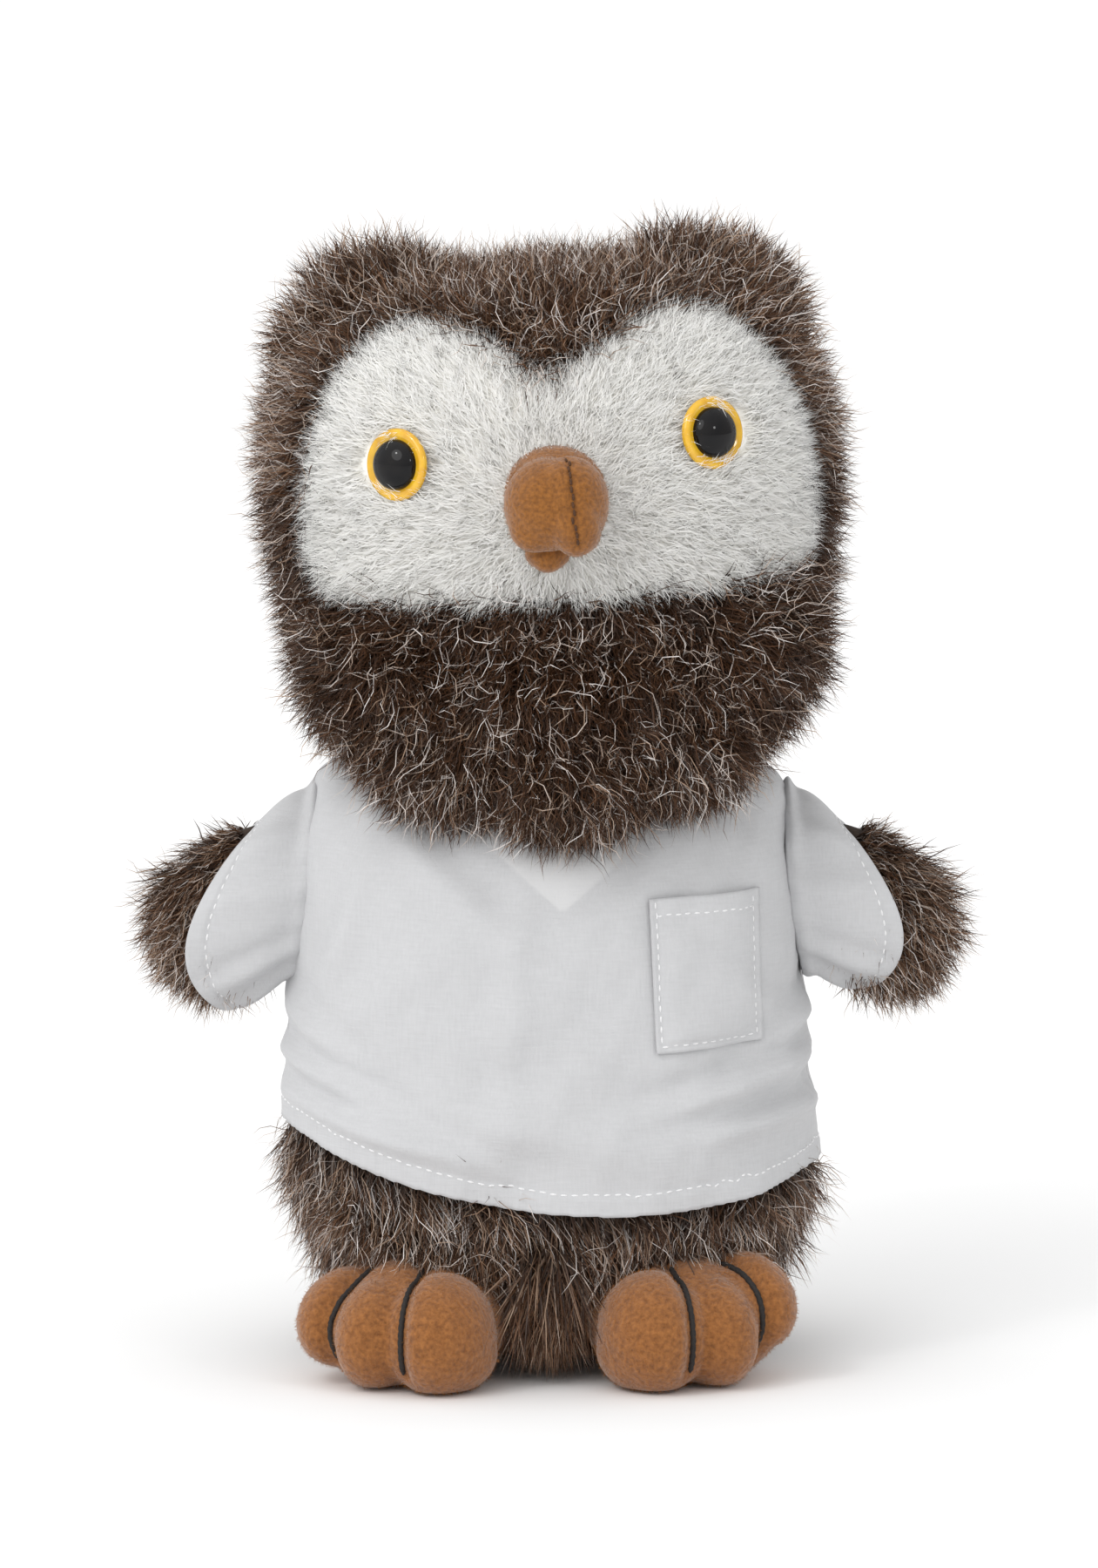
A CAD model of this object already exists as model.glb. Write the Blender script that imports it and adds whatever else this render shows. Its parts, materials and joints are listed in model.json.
# The looks of a stuffed plush owl in a white scrub top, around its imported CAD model.
# Lengths in the tables below are millimetres, in the model's frame: +Z up, the owl faces -Y.
import json
from math import cos, pi, radians, sin

import bpy
import numpy as np
from mathutils import Matrix, Vector
from mathutils.bvhtree import BVHTree


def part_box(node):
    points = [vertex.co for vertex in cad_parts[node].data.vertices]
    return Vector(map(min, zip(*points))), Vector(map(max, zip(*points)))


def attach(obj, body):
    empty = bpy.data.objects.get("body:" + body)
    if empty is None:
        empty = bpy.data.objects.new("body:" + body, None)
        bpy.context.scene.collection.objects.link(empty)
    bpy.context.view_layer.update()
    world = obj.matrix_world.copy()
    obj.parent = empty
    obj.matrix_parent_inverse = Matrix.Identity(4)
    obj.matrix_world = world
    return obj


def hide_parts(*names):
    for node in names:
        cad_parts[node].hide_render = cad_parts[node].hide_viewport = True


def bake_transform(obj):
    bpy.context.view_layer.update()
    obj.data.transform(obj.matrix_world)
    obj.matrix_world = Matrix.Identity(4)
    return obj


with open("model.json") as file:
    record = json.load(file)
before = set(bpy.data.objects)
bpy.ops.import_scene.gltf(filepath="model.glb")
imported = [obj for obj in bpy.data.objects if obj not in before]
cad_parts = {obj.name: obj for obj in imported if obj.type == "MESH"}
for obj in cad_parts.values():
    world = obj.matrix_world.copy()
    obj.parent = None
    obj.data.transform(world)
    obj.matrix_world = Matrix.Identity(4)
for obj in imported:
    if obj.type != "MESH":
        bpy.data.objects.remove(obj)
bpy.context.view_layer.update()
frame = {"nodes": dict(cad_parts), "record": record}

MM = 0.001
SIDES = (("left", 1), ("right", -1))
HEAD_CENTRE = np.array([0.0, 0.0, 165.0])
HEAD_TILT = radians(3.5)
EYE_TURN = radians(36)
PUPIL_RADIUS = 4.9
EYE_RADIUS = 7.0
WING_DROOP = 30    # degrees
JOINTS = {joint["name"]: joint for joint in frame["record"]["behaviour"]["joints"]}


def box_mm(node):
    low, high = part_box(node)
    return np.array(low) / MM, np.array(high) / MM


def centre_mm(node):
    low, high = box_mm(node)
    return (low + high) / 2


# ---------------------------------------------------------------- small vector helpers

def unit(vectors):
    vectors = np.asarray(vectors, float)
    return vectors / np.maximum(np.linalg.norm(vectors, axis=-1, keepdims=True), 1e-12)


def smoothstep(low, high, value):
    t = np.clip((value - low) / (high - low), 0, 1)
    return t * t * (3 - 2 * t)


def smooth_line(points, count):
    """A Catmull-Rom line through the points, evenly sampled in the points' own parameter."""
    p = np.array(points, float)
    p = np.vstack([2 * p[0] - p[1], p, 2 * p[-1] - p[-2]])
    at = np.linspace(0, len(points) - 1, count)
    i = np.minimum(at.astype(int), len(points) - 2)
    t = (at - i)[:, None]
    a, b, c, d = p[i], p[i + 1], p[i + 2], p[i + 3]
    return 0.5 * (2 * b + (c - a) * t + (2 * a - 5 * b + 4 * c - d) * t ** 2
                  + (3 * b - a - 3 * c + d) * t ** 3)


def resampled(path, step=None, count=None):
    """The path at even distances: about a step apart, or count points of it."""
    lengths = np.concatenate([[0], np.cumsum(np.linalg.norm(np.diff(path, axis=0), axis=1))])
    if count is None:
        count = max(3, int(lengths[-1] / step) + 1)
    at = np.linspace(0, lengths[-1], count)
    return np.stack([np.interp(at, lengths, path[:, k]) for k in range(path.shape[1])], 1)


def ripple(points, wavelength, seed):
    """A smooth random vector at each point, in tufts about a wavelength across."""
    rng = np.random.default_rng(seed)
    total = np.zeros_like(points)
    for _ in range(6):
        waves = unit(rng.normal(size=(3, 3))) * rng.uniform(0.7, 1.4, (3, 1)) * 2 * pi / wavelength
        total += np.sin(points @ waves.T + rng.uniform(0, 2 * pi, 3))
    return total / 3.0


def tilt_matrix():
    centre = Vector(HEAD_CENTRE * MM)
    turn = Matrix.Rotation(-HEAD_TILT, 4, "Y")
    return Matrix.Translation(centre) @ turn @ Matrix.Translation(-centre)


def untilted(points):
    """World millimetres into the head's own upright frame."""
    turn = np.array(Matrix.Rotation(HEAD_TILT, 3, "Y"))
    return (points - HEAD_CENTRE) @ turn.T + HEAD_CENTRE


# ---------------------------------------------------------------- meshes

def add_object(name, mesh, material):
    piece = bpy.data.objects.new(name, mesh)
    bpy.context.scene.collection.objects.link(piece)
    if material is not None:
        mesh.materials.append(material)
    return piece


def mesh_from(name, vertices, faces, material):
    mesh = bpy.data.meshes.new(name)
    mesh.from_pydata((np.asarray(vertices) * MM).tolist(), [], faces)
    mesh.shade_smooth()
    return add_object(name, mesh, material)


def with_modifiers(piece, *settings):
    """Adds each (type, {setting: value}) modifier, and leaves its result as the mesh."""
    for kind, values in settings:
        modifier = piece.modifiers.new(kind.lower(), kind)
        for key, value in values.items():
            setattr(modifier, key, value)
    depsgraph = bpy.context.evaluated_depsgraph_get()
    done = bpy.data.meshes.new_from_object(piece.evaluated_get(depsgraph))
    piece.modifiers.clear()
    old = piece.data
    piece.data = done
    bpy.data.meshes.remove(old)
    done.shade_smooth()
    return piece


def vertices_mm(piece):
    flat = np.empty(len(piece.data.vertices) * 3)
    piece.data.vertices.foreach_get("co", flat)
    return flat.reshape(-1, 3) / MM


def set_vertices_mm(piece, points):
    piece.data.vertices.foreach_set("co", (points * MM).ravel())
    piece.data.update()


def keep_above_floor(piece):
    points = vertices_mm(piece)
    points[:, 2] = np.maximum(points[:, 2], 0.02)
    set_vertices_mm(piece, points)


def settle(piece, slot, body, *nodes):
    """Says which CAD nodes a piece stands for, its material slot, and the body it rides on."""
    if nodes:
        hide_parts(*nodes)
    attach(piece, body)


def normals_of(piece):
    flat = np.empty(len(piece.data.vertices) * 3)
    piece.data.vertices.foreach_get("normal", flat)
    return flat.reshape(-1, 3)


def grid_faces(rows, columns, closed=False):
    """Quads over a grid of points, closed round its columns or open."""
    faces = []
    across = columns if closed else columns - 1
    for i in range(rows - 1):
        for j in range(across):
            k = (j + 1) % columns
            faces.append((i * columns + j, i * columns + k, (i + 1) * columns + k, (i + 1) * columns + j))
    return faces


def capped_faces(rows, around):
    """The faces of a tube of rings, with a cap at each end."""
    faces = grid_faces(rows, around, closed=True)
    faces.append(tuple(range(around))[::-1])
    faces.append(tuple((rows - 1) * around + j for j in range(around)))
    return faces


def squared_ring(spin, power):
    """The x and y of a unit ring that is rounder at a power of 2 and squarer above it."""
    wide = np.sign(np.cos(spin)) * np.abs(np.cos(spin)) ** (2 / power)
    deep = np.sign(np.sin(spin)) * np.abs(np.sin(spin)) ** (2 / power)
    return wide, deep


def ball(centre, radii, turn=(0, 0, 0), rows=20, around=32):
    """Vertices and faces of an ellipsoid; turn is in degrees about X, Y and Z."""
    rise = np.linspace(-pi / 2, pi / 2, rows + 1)[1:-1]
    spin = np.linspace(0, 2 * pi, around, endpoint=False)
    ring = [(cos(r) * cos(s), cos(r) * sin(s), sin(r)) for r in rise for s in spin]
    points = np.array(ring + [(0, 0, -1), (0, 0, 1)]) * radii
    for angle, axis in zip(turn, "XYZ"):
        points = points @ np.array(Matrix.Rotation(radians(angle), 3, axis)).T
    faces = grid_faces(rows - 1, around, closed=True)
    low, high, last = len(ring), len(ring) + 1, (rows - 2) * around
    for j in range(around):
        k = (j + 1) % around
        faces.append((k, j, low))
        faces.append((last + j, last + k, high))
    return points + centre, faces


def lathe(outline, power, around=96, rows=60):
    """A closed form with rounded-box sections from (half width, half depth, height) points."""
    line = smooth_line(outline, rows)
    wide, deep = squared_ring(np.linspace(0, 2 * pi, around, endpoint=False), power)
    points = [(max(a, 0.1) * x, max(b, 0.1) * y, z) for a, b, z in line for x, y in zip(wide, deep)]
    return np.array(points), capped_faces(rows, around)


def blob(name, lumps, voxel, smoothing, material):
    """Joins closed lumps into one skin and softens it."""
    points, faces, start = [], [], 0
    for lump_points, lump_faces in lumps:
        points.append(lump_points)
        faces += [tuple(start + i for i in face) for face in lump_faces]
        start += len(lump_points)
    piece = mesh_from(name, np.vstack(points), faces, material)
    return with_modifiers(
        piece,
        ("REMESH", {"mode": "VOXEL", "voxel_size": voxel * MM, "use_smooth_shade": True}),
        ("SMOOTH", {"factor": 0.5, "iterations": smoothing}),
    )


def part_of(piece, name, keep, material):
    """A copy of the piece with only the faces whose centres keep() picks."""
    mesh = piece.data
    centres = np.empty(len(mesh.polygons) * 3)
    mesh.polygons.foreach_get("center", centres)
    chosen = keep(centres.reshape(-1, 3) / MM)
    points = vertices_mm(piece)
    faces = [tuple(p.vertices) for p, k in zip(mesh.polygons, chosen) if k]
    used = np.unique(np.concatenate([np.array(face) for face in faces]))
    renumber = np.full(len(points), -1)
    renumber[used] = np.arange(len(used))
    faces = [tuple(int(renumber[i]) for i in face) for face in faces]
    return mesh_from(name, points[used], faces, material)


def filling(cover, name, inset, material):
    """Loose stuffing: the cover's form, pulled in and lumpy."""
    points = vertices_mm(cover)
    normals = normals_of(cover)
    lumps = ripple(points, 14, 5)[:, 0] * 0.6
    faces = [tuple(p.vertices) for p in cover.data.polygons]
    piece = mesh_from(name, points - normals * (inset + lumps[:, None]), faces, material)
    return with_modifiers(piece, ("DECIMATE", {"ratio": 0.35}))


# ---------------------------------------------------------------- materials

def node_material(name, colour, roughness, **sockets):
    material = bpy.data.materials.new(name)
    material.use_nodes = True
    shader = material.node_tree.nodes["Principled BSDF"]
    shader.inputs["Base Color"].default_value = (*colour, 1)
    shader.inputs["Roughness"].default_value = roughness
    for socket, value in sockets.items():
        shader.inputs[socket.replace("_", " ")].default_value = value
    return material, material.node_tree, shader


def add_node(tree, kind, inputs=None, **settings):
    node = tree.nodes.new(kind)
    for key, value in settings.items():
        setattr(node, key, value)
    for key, value in (inputs or {}).items():
        if isinstance(value, bpy.types.NodeSocket):
            tree.links.new(value, node.inputs[key])
        else:
            node.inputs[key].default_value = value
    return node


def ramp(tree, factor, *stops):
    node = add_node(tree, "ShaderNodeValToRGB", {"Fac": factor})
    elements = node.color_ramp.elements
    while len(elements) < len(stops):
        elements.new(0.5)
    for element, (position, colour) in zip(elements, stops):
        element.position = position
        element.color = (*colour, 1)
    return node.outputs["Color"]


def mixed(tree, factor, one, two):
    node = add_node(tree, "ShaderNodeMix", {"Factor": factor}, data_type="RGBA")
    for socket, value in ((node.inputs[6], one), (node.inputs[7], two)):
        if isinstance(value, bpy.types.NodeSocket):
            tree.links.new(value, socket)
        else:
            socket.default_value = (*value, 1)
    return node.outputs[2]


def noise(tree, scale, detail=3.0, stretch=(1, 1, 1)):
    """Noise over the object, with scale in features per millimetre."""
    place = add_node(tree, "ShaderNodeTexCoord")
    squeeze = add_node(tree, "ShaderNodeMapping", {"Vector": place.outputs["Object"]})
    squeeze.inputs["Scale"].default_value = [s / MM * scale for s in stretch]
    node = add_node(tree, "ShaderNodeTexNoise", {
        "Vector": squeeze.outputs[0], "Scale": 1.0, "Detail": detail, "Roughness": 0.5})
    return node.outputs["Fac"]


def bump(tree, shader, height, distance):
    node = add_node(tree, "ShaderNodeBump", {
        "Height": height, "Distance": distance * MM, "Strength": 1.0})
    tree.links.new(node.outputs[0], shader.inputs["Normal"])


def fur_material(name, roots, tips, roughness, gloss, start=0.15, end=0.85, **sockets):
    """Strands: OFBake's U picks the strand's colour, and V runs from its root to its tip."""
    material, tree, shader = node_material(name, tips[0][1], roughness, Specular_IOR_Level=gloss, **sockets)
    along = add_node(tree, "ShaderNodeUVMap", uv_map="OFBake")
    parts = add_node(tree, "ShaderNodeSeparateXYZ", {"Vector": along.outputs[0]})
    fade = add_node(tree, "ShaderNodeMapRange", {
        "Value": parts.outputs["Y"], "From Min": start, "From Max": end})
    colour = mixed(tree, fade.outputs[0], ramp(tree, parts.outputs["X"], *roots),
                   ramp(tree, parts.outputs["X"], *tips))
    tree.links.new(colour, shader.inputs["Base Color"])
    return material


def mottled(name, dark, light, scale, roughness, depth, stretch=(1, 1, 1), **sockets):
    """A cloth, felt or fibre surface: two tones of noise and a bump of the same grain."""
    material, tree, shader = node_material(name, light, roughness, **sockets)
    grain = noise(tree, scale, 4.0, stretch)
    tree.links.new(ramp(tree, grain, (0.3, dark), (0.7, light)), shader.inputs["Base Color"])
    bump(tree, shader, grain, depth)
    return material


def make_materials():
    made = {}
    made["brown_strands"] = fur_material(
        "brown_strands",
        roots=((0.0, (0.014, 0.006, 0.003)), (0.5, (0.026, 0.012, 0.006)), (1.0, (0.050, 0.026, 0.014))),
        tips=((0.0, (0.032, 0.014, 0.007)), (0.40, (0.088, 0.038, 0.016)), (0.62, (0.20, 0.098, 0.048)),
              (0.78, (0.44, 0.31, 0.22)), (1.0, (0.93, 0.88, 0.85))),
        roughness=0.45, gloss=0.35, start=0.1, end=0.8)
    made["white_strands"] = fur_material(
        "white_strands",
        roots=((0.0, (0.90, 0.87, 0.78)), (1.0, (0.95, 0.93, 0.87))),
        tips=((0.0, (0.95, 0.94, 0.90)), (1.0, (0.985, 0.98, 0.96))),
        roughness=0.6, gloss=0.2, start=0.0, end=0.6, Sheen_Weight=1.0, Sheen_Roughness=0.4)
    made["foot_fuzz"] = fur_material(
        "foot_fuzz", roots=((0.0, (0.20, 0.07, 0.015)), (1.0, (0.32, 0.12, 0.028))),
        tips=((0.0, (0.29, 0.11, 0.026)), (1.0, (0.46, 0.21, 0.07))), roughness=0.8, gloss=0.15)
    made["beak_fuzz"] = fur_material(
        "beak_fuzz", roots=((0.0, (0.18, 0.065, 0.009)), (1.0, (0.28, 0.11, 0.015))),
        tips=((0.0, (0.25, 0.095, 0.013)), (1.0, (0.42, 0.18, 0.035))), roughness=0.8, gloss=0.1)
    plush = {"Sheen_Weight": 0.6, "Sheen_Roughness": 0.5}
    felt = {"Sheen_Weight": 0.35, "Sheen_Roughness": 0.5}
    yarn = {"stretch": (1, 1, 4)}
    surfaces = (   # dark tone, light tone, features per mm, roughness, depth of the bump, more settings
        ("brown_skin", (0.012, 0.007, 0.004), (0.045, 0.026, 0.016), 0.7, 0.9, 0.5, {}),
        ("white_skin", (0.88, 0.86, 0.80), (0.97, 0.96, 0.92), 0.5, 0.85, 0.15, plush),
        ("stuffing", (0.70, 0.70, 0.68), (0.88, 0.88, 0.87), 0.25, 0.95, 0.8, {}),
        ("foot_felt", (0.18, 0.062, 0.012), (0.35, 0.135, 0.032), 1.1, 0.95, 0.25, felt),
        ("beak_felt", (0.16, 0.055, 0.007), (0.32, 0.120, 0.018), 1.3, 0.95, 0.2, felt),
        ("dark_thread", (0.006, 0.005, 0.005), (0.03, 0.025, 0.022), 2.5, 0.8, 0.1, yarn),
        ("seam_thread", (0.05, 0.02, 0.008), (0.11, 0.045, 0.016), 2.5, 0.85, 0.1, {}),
        ("white_thread", (0.72, 0.72, 0.73), (0.88, 0.88, 0.88), 3.0, 0.8, 0.05, {}),
        ("base_cloth", (0.02, 0.013, 0.009), (0.06, 0.04, 0.03), 1.5, 0.95, 0.1, {}),
        ("pellets", (0.55, 0.55, 0.50), (0.80, 0.80, 0.76), 0.45, 0.6, 0.5, {}),
        ("washer_plastic", (0.62, 0.62, 0.60), (0.75, 0.75, 0.73), 0.8, 0.5, 0.02, {}),
    )
    for name, dark, light, scale, roughness, depth, more in surfaces:
        made[name] = mottled(name, dark, light, scale, roughness, depth, **more)
    made["cotton"] = cotton_material()
    made["iris"] = eye_plastic("iris", (0.80, 0.45, 0.02), 0.12, (0.4, 2.0), (0.72, 0.38, 0.015),
                               (0.86, 0.52, 0.03), Coat_Weight=0.5)
    made["pupil"] = eye_plastic("pupil", (0.004, 0.004, 0.005), 0.05, (0.3, 1.0), (0.003, 0.003, 0.004),
                                (0.008, 0.007, 0.007), Specular_IOR_Level=0.25)
    return made


def cotton_material():
    """Plain-weave cotton: fine crossed yarns with slubs, and the facing that shows through."""
    material, tree, shader = node_material("cotton", (0.80, 0.80, 0.82), 0.85,
                                           Sheen_Weight=0.15, Specular_IOR_Level=0.3)
    across = noise(tree, 2.4, 2.0, (0.1, 0.1, 1.0))
    upright = noise(tree, 2.4, 2.0, (1.0, 1.0, 0.1))
    weave = add_node(tree, "ShaderNodeMath", {0: across, 1: upright}, operation="ADD")
    tone = add_node(tree, "ShaderNodeMath", {0: weave.outputs[0], 1: 0.5}, operation="MULTIPLY")
    cloth = ramp(tree, tone.outputs[0], (0.3, (0.51, 0.512, 0.521)), (0.7, (0.56, 0.562, 0.572)))
    lining = add_node(tree, "ShaderNodeAttribute", attribute_name="lining")
    colour = mixed(tree, lining.outputs["Fac"], cloth, (0.61, 0.61, 0.615))
    tree.links.new(colour, shader.inputs["Base Color"])
    bump(tree, shader, tone.outputs[0], 0.12)
    return material


def eye_plastic(name, colour, roughness, grain, dark, light, **sockets):
    """A glossy plastic in two close tones; grain is the scale and detail of their noise."""
    material, tree, shader = node_material(name, colour, roughness, **sockets)
    tone = noise(tree, *grain)
    tree.links.new(ramp(tree, tone, (0.3, dark), (0.7, light)), shader.inputs["Base Color"])
    return material


# ---------------------------------------------------------------- fur

def scatter(piece, per_mm2, rng, keep=None):
    """Random roots on the piece's faces, with the skin's normal at each."""
    mesh = piece.data
    mesh.calc_loop_triangles()
    corners = np.empty(len(mesh.loop_triangles) * 3, np.int32)
    mesh.loop_triangles.foreach_get("vertices", corners)
    corners = corners.reshape(-1, 3)
    points, normals = vertices_mm(piece), normals_of(piece)
    a, b, c = (points[corners[:, k]] for k in range(3))
    areas = np.linalg.norm(np.cross(b - a, c - a), axis=1) / 2
    count = int(areas.sum() * per_mm2 * (1.0))
    pick = rng.choice(len(areas), count, p=areas / areas.sum())
    u, v = rng.random(count), rng.random(count)
    flip = u + v > 1
    u[flip], v[flip] = 1 - u[flip], 1 - v[flip]
    weights = np.stack([1 - u - v, u, v], 1)[:, :, None]
    roots = (points[corners[pick]] * weights).sum(1)
    outward = unit((normals[corners[pick]] * weights).sum(1))
    if keep is not None:
        chosen = keep(roots)
        roots, outward = roots[chosen], outward[chosen]
    return roots, outward


def strands(name, roots, outward, comb, rng, material, length, width, stand=0.5, bend=0.5,
            mess=0.35, tone=(0.0, 1.0), spread=0.25, soften=0.0, steps=3, curl=0.0, patchy=0.08):
    """Fur as tapered ribbons of a few steps each. comb is the lie of the pile, stand how upright it
    starts, bend how far it falls over towards the comb, mess how much each strand strays, curl how
    much it winds, tone the range of its colours, spread how much its length varies, soften how far
    its shading follows the skin, and patchy how far the colour drifts from tuft to tuft."""
    count = len(roots)
    comb = comb - outward * (comb * outward).sum(1, keepdims=True)
    stray = rng.normal(size=(count, 3)) * mess
    start = unit(outward * stand + comb * (1 - stand) + stray * 0.6)
    turn = comb * bend + stray + np.array([0, 0, -0.25 * bend])
    lengths = length * rng.uniform(1 - spread, 1 + spread, (count, 1))
    widths = width * rng.uniform(0.7, 1.3, (count, 1))
    side = unit(np.cross(start, outward + 0.55 * rng.normal(size=(count, 3))))
    over = np.cross(side, start)
    turned_in = np.sign((over * outward).sum(1, keepdims=True))
    side, over = side * turned_in, over * turned_in
    phase = rng.uniform(0, 2 * pi, (count, 1))
    place = roots - outward * 0.3
    rows = []
    for k in range(steps):
        t = k / steps
        half = side * widths * (1 - 0.6 * t * t) / 2
        rows += [place - half, place + half]
        winding = phase + 2.4 * pi * t
        swirl = curl * (np.cos(winding) * side + np.sin(winding) * over)
        place = place + unit(start + turn * t + swirl) * lengths / steps
    rows.append(place)
    vertices = np.stack(rows, 1)
    per_strand = 2 * steps + 1
    pattern = []
    for k in range(steps - 1):
        pattern += [2 * k, 2 * k + 1, 2 * k + 3, 2 * k + 2]
    pattern = np.array(pattern + [2 * steps - 2, 2 * steps - 1, 2 * steps])
    starts = 4 * np.arange(steps)
    height = np.append(np.repeat(np.arange(steps), 2), steps) / steps
    loops = (pattern[None] + per_strand * np.arange(count)[:, None]).ravel()
    loop_starts = (starts[None] + len(pattern) * np.arange(count)[:, None]).ravel()
    mesh = bpy.data.meshes.new(name)
    mesh.vertices.add(count * per_strand)
    mesh.vertices.foreach_set("co", (vertices * MM).ravel())
    mesh.loops.add(len(loops))
    mesh.loops.foreach_set("vertex_index", loops.astype(np.int32))
    mesh.polygons.add(len(loop_starts))
    mesh.polygons.foreach_set("loop_start", loop_starts.astype(np.int32))
    mesh.update(calc_edges=True)
    mesh.shade_smooth()
    tones = rng.uniform(*tone, (count, 1)) + patchy * ripple(roots, 11, 15)[:, :1]
    tones = np.clip(tones, tone[0], tone[1])
    uv = np.stack([np.broadcast_to(tones, (count, len(pattern))),
                   np.broadcast_to(height[pattern], (count, len(pattern)))], 2)
    layer = mesh.uv_layers.new(name="OFBake")
    layer.data.foreach_set("uv", np.clip(uv, 0.004, 0.996).astype(np.float32).ravel())
    if soften > 0:
        blended = unit(outward[:, None] * soften + (1 - soften) * over[:, None])
        mesh.normals_split_custom_set_from_vertices(
            np.repeat(blended, per_strand, axis=1).reshape(-1, 3).tolist())
    return add_object(name, mesh, material)


# ---------------------------------------------------------------- head

FACE_OUTLINE = [   # across, height in the head's own frame; one side, from the peak down to the lower edge
    (0, 194.5), (5, 196), (11, 200), (20, 203.5), (29, 203), (37.5, 197), (43.5, 187), (46.5, 176),
    (47, 165), (45.5, 157.5), (42, 154.5), (28, 153.5), (0, 153.5),
]
FACE_SHIFT = 1.6   # the face sits a little to the owl's left


def in_face(points, grow=0.0):
    """Whether points in the head's upright frame lie on the white face."""
    line = smooth_line(FACE_OUTLINE, 80)
    centre = np.array([0, 174.0])
    right = line + unit(line - centre) * grow
    ring = np.vstack([right, (right * [-1, 1])[::-1]])
    x, z = points[:, 0] - FACE_SHIFT, points[:, 2]
    inside = np.zeros(len(points), bool)
    for (x0, z0), (x1, z1) in zip(ring, np.roll(ring, -1, axis=0)):
        if z0 == z1:
            continue
        crosses = (z0 > z) != (z1 > z)
        inside ^= crosses & (x < (x1 - x0) * (z - z0) / (z1 - z0) + x0)
    return inside & (points[:, 1] < -6)


HEAD_LINE = [      # half width, half depth, height of the brown skin under its pile
    (0, 0, 118.5), (20, 18, 118.5), (32, 30, 121), (39.5, 37, 128), (44.5, 41, 139), (48, 44, 153),
    (50, 45, 167), (50, 44, 179), (47, 41, 190), (41.5, 35, 199), (31, 26, 205.5), (15, 14, 207.5),
    (0, 0, 207.5),
]


def head_skins(materials):
    lumps = [lathe(HEAD_LINE, 2.35)]
    for _, side in SIDES:
        lumps.append(ball((side * 31, 1, 199), (16, 13, 14.5), (0, side * 20, 0)))
        lumps.append(ball((side * 24, -19, 178), (23, 20.5, 24)))
        lumps.append(ball((side * 27, -21, 140), (20, 20, 17)))
    lumps.append(ball((0, -30, 170), (20, 18, 18)))
    lumps.append(ball((0, -27, 134), (30, 19, 17)))
    lumps.append(ball((1, -33.5, 121.5), (15, 12.5, 12)))
    for side in (-1, 1):
        lumps.append(ball((side * 19, -28, 125), (16, 13, 11)))
    whole = blob("head_whole", lumps, 1.5, 14, None)
    points, normals = vertices_mm(whole), normals_of(whole)
    raised = in_face(points, -2.0) * 1.4
    set_vertices_mm(whole, points + normals * raised[:, None])
    whole = with_modifiers(whole, ("SMOOTH", {"factor": 0.5, "iterations": 3}))
    face = part_of(whole, "face_skin", lambda p: in_face(p), materials["white_skin"])
    brown = part_of(whole, "head_skin", lambda p: ~in_face(p), materials["brown_skin"])
    fill = filling(whole, "head_fill", 2.0, materials["stuffing"])
    bpy.data.objects.remove(whole)
    for piece in (face, brown, fill):
        piece.data.transform(tilt_matrix())
    settle(face, "white_pile", "head", "face_patch")
    settle(brown, "brown_pile", "head", "head_cover")
    settle(fill, "stuffing", "head", "head_stuffing")
    return face, brown


def head_comb(points):
    """The pile flows away from the face, and down at the sides and below."""
    local = untilted(points)
    away = unit(local - np.array([0, -30, 172.0]))
    fall = smoothstep(205, 165, local[:, 2])[:, None] * np.array([0, 0, -0.9])
    return unit(away + fall) + 0.55 * ripple(points, 13, 11)


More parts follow.
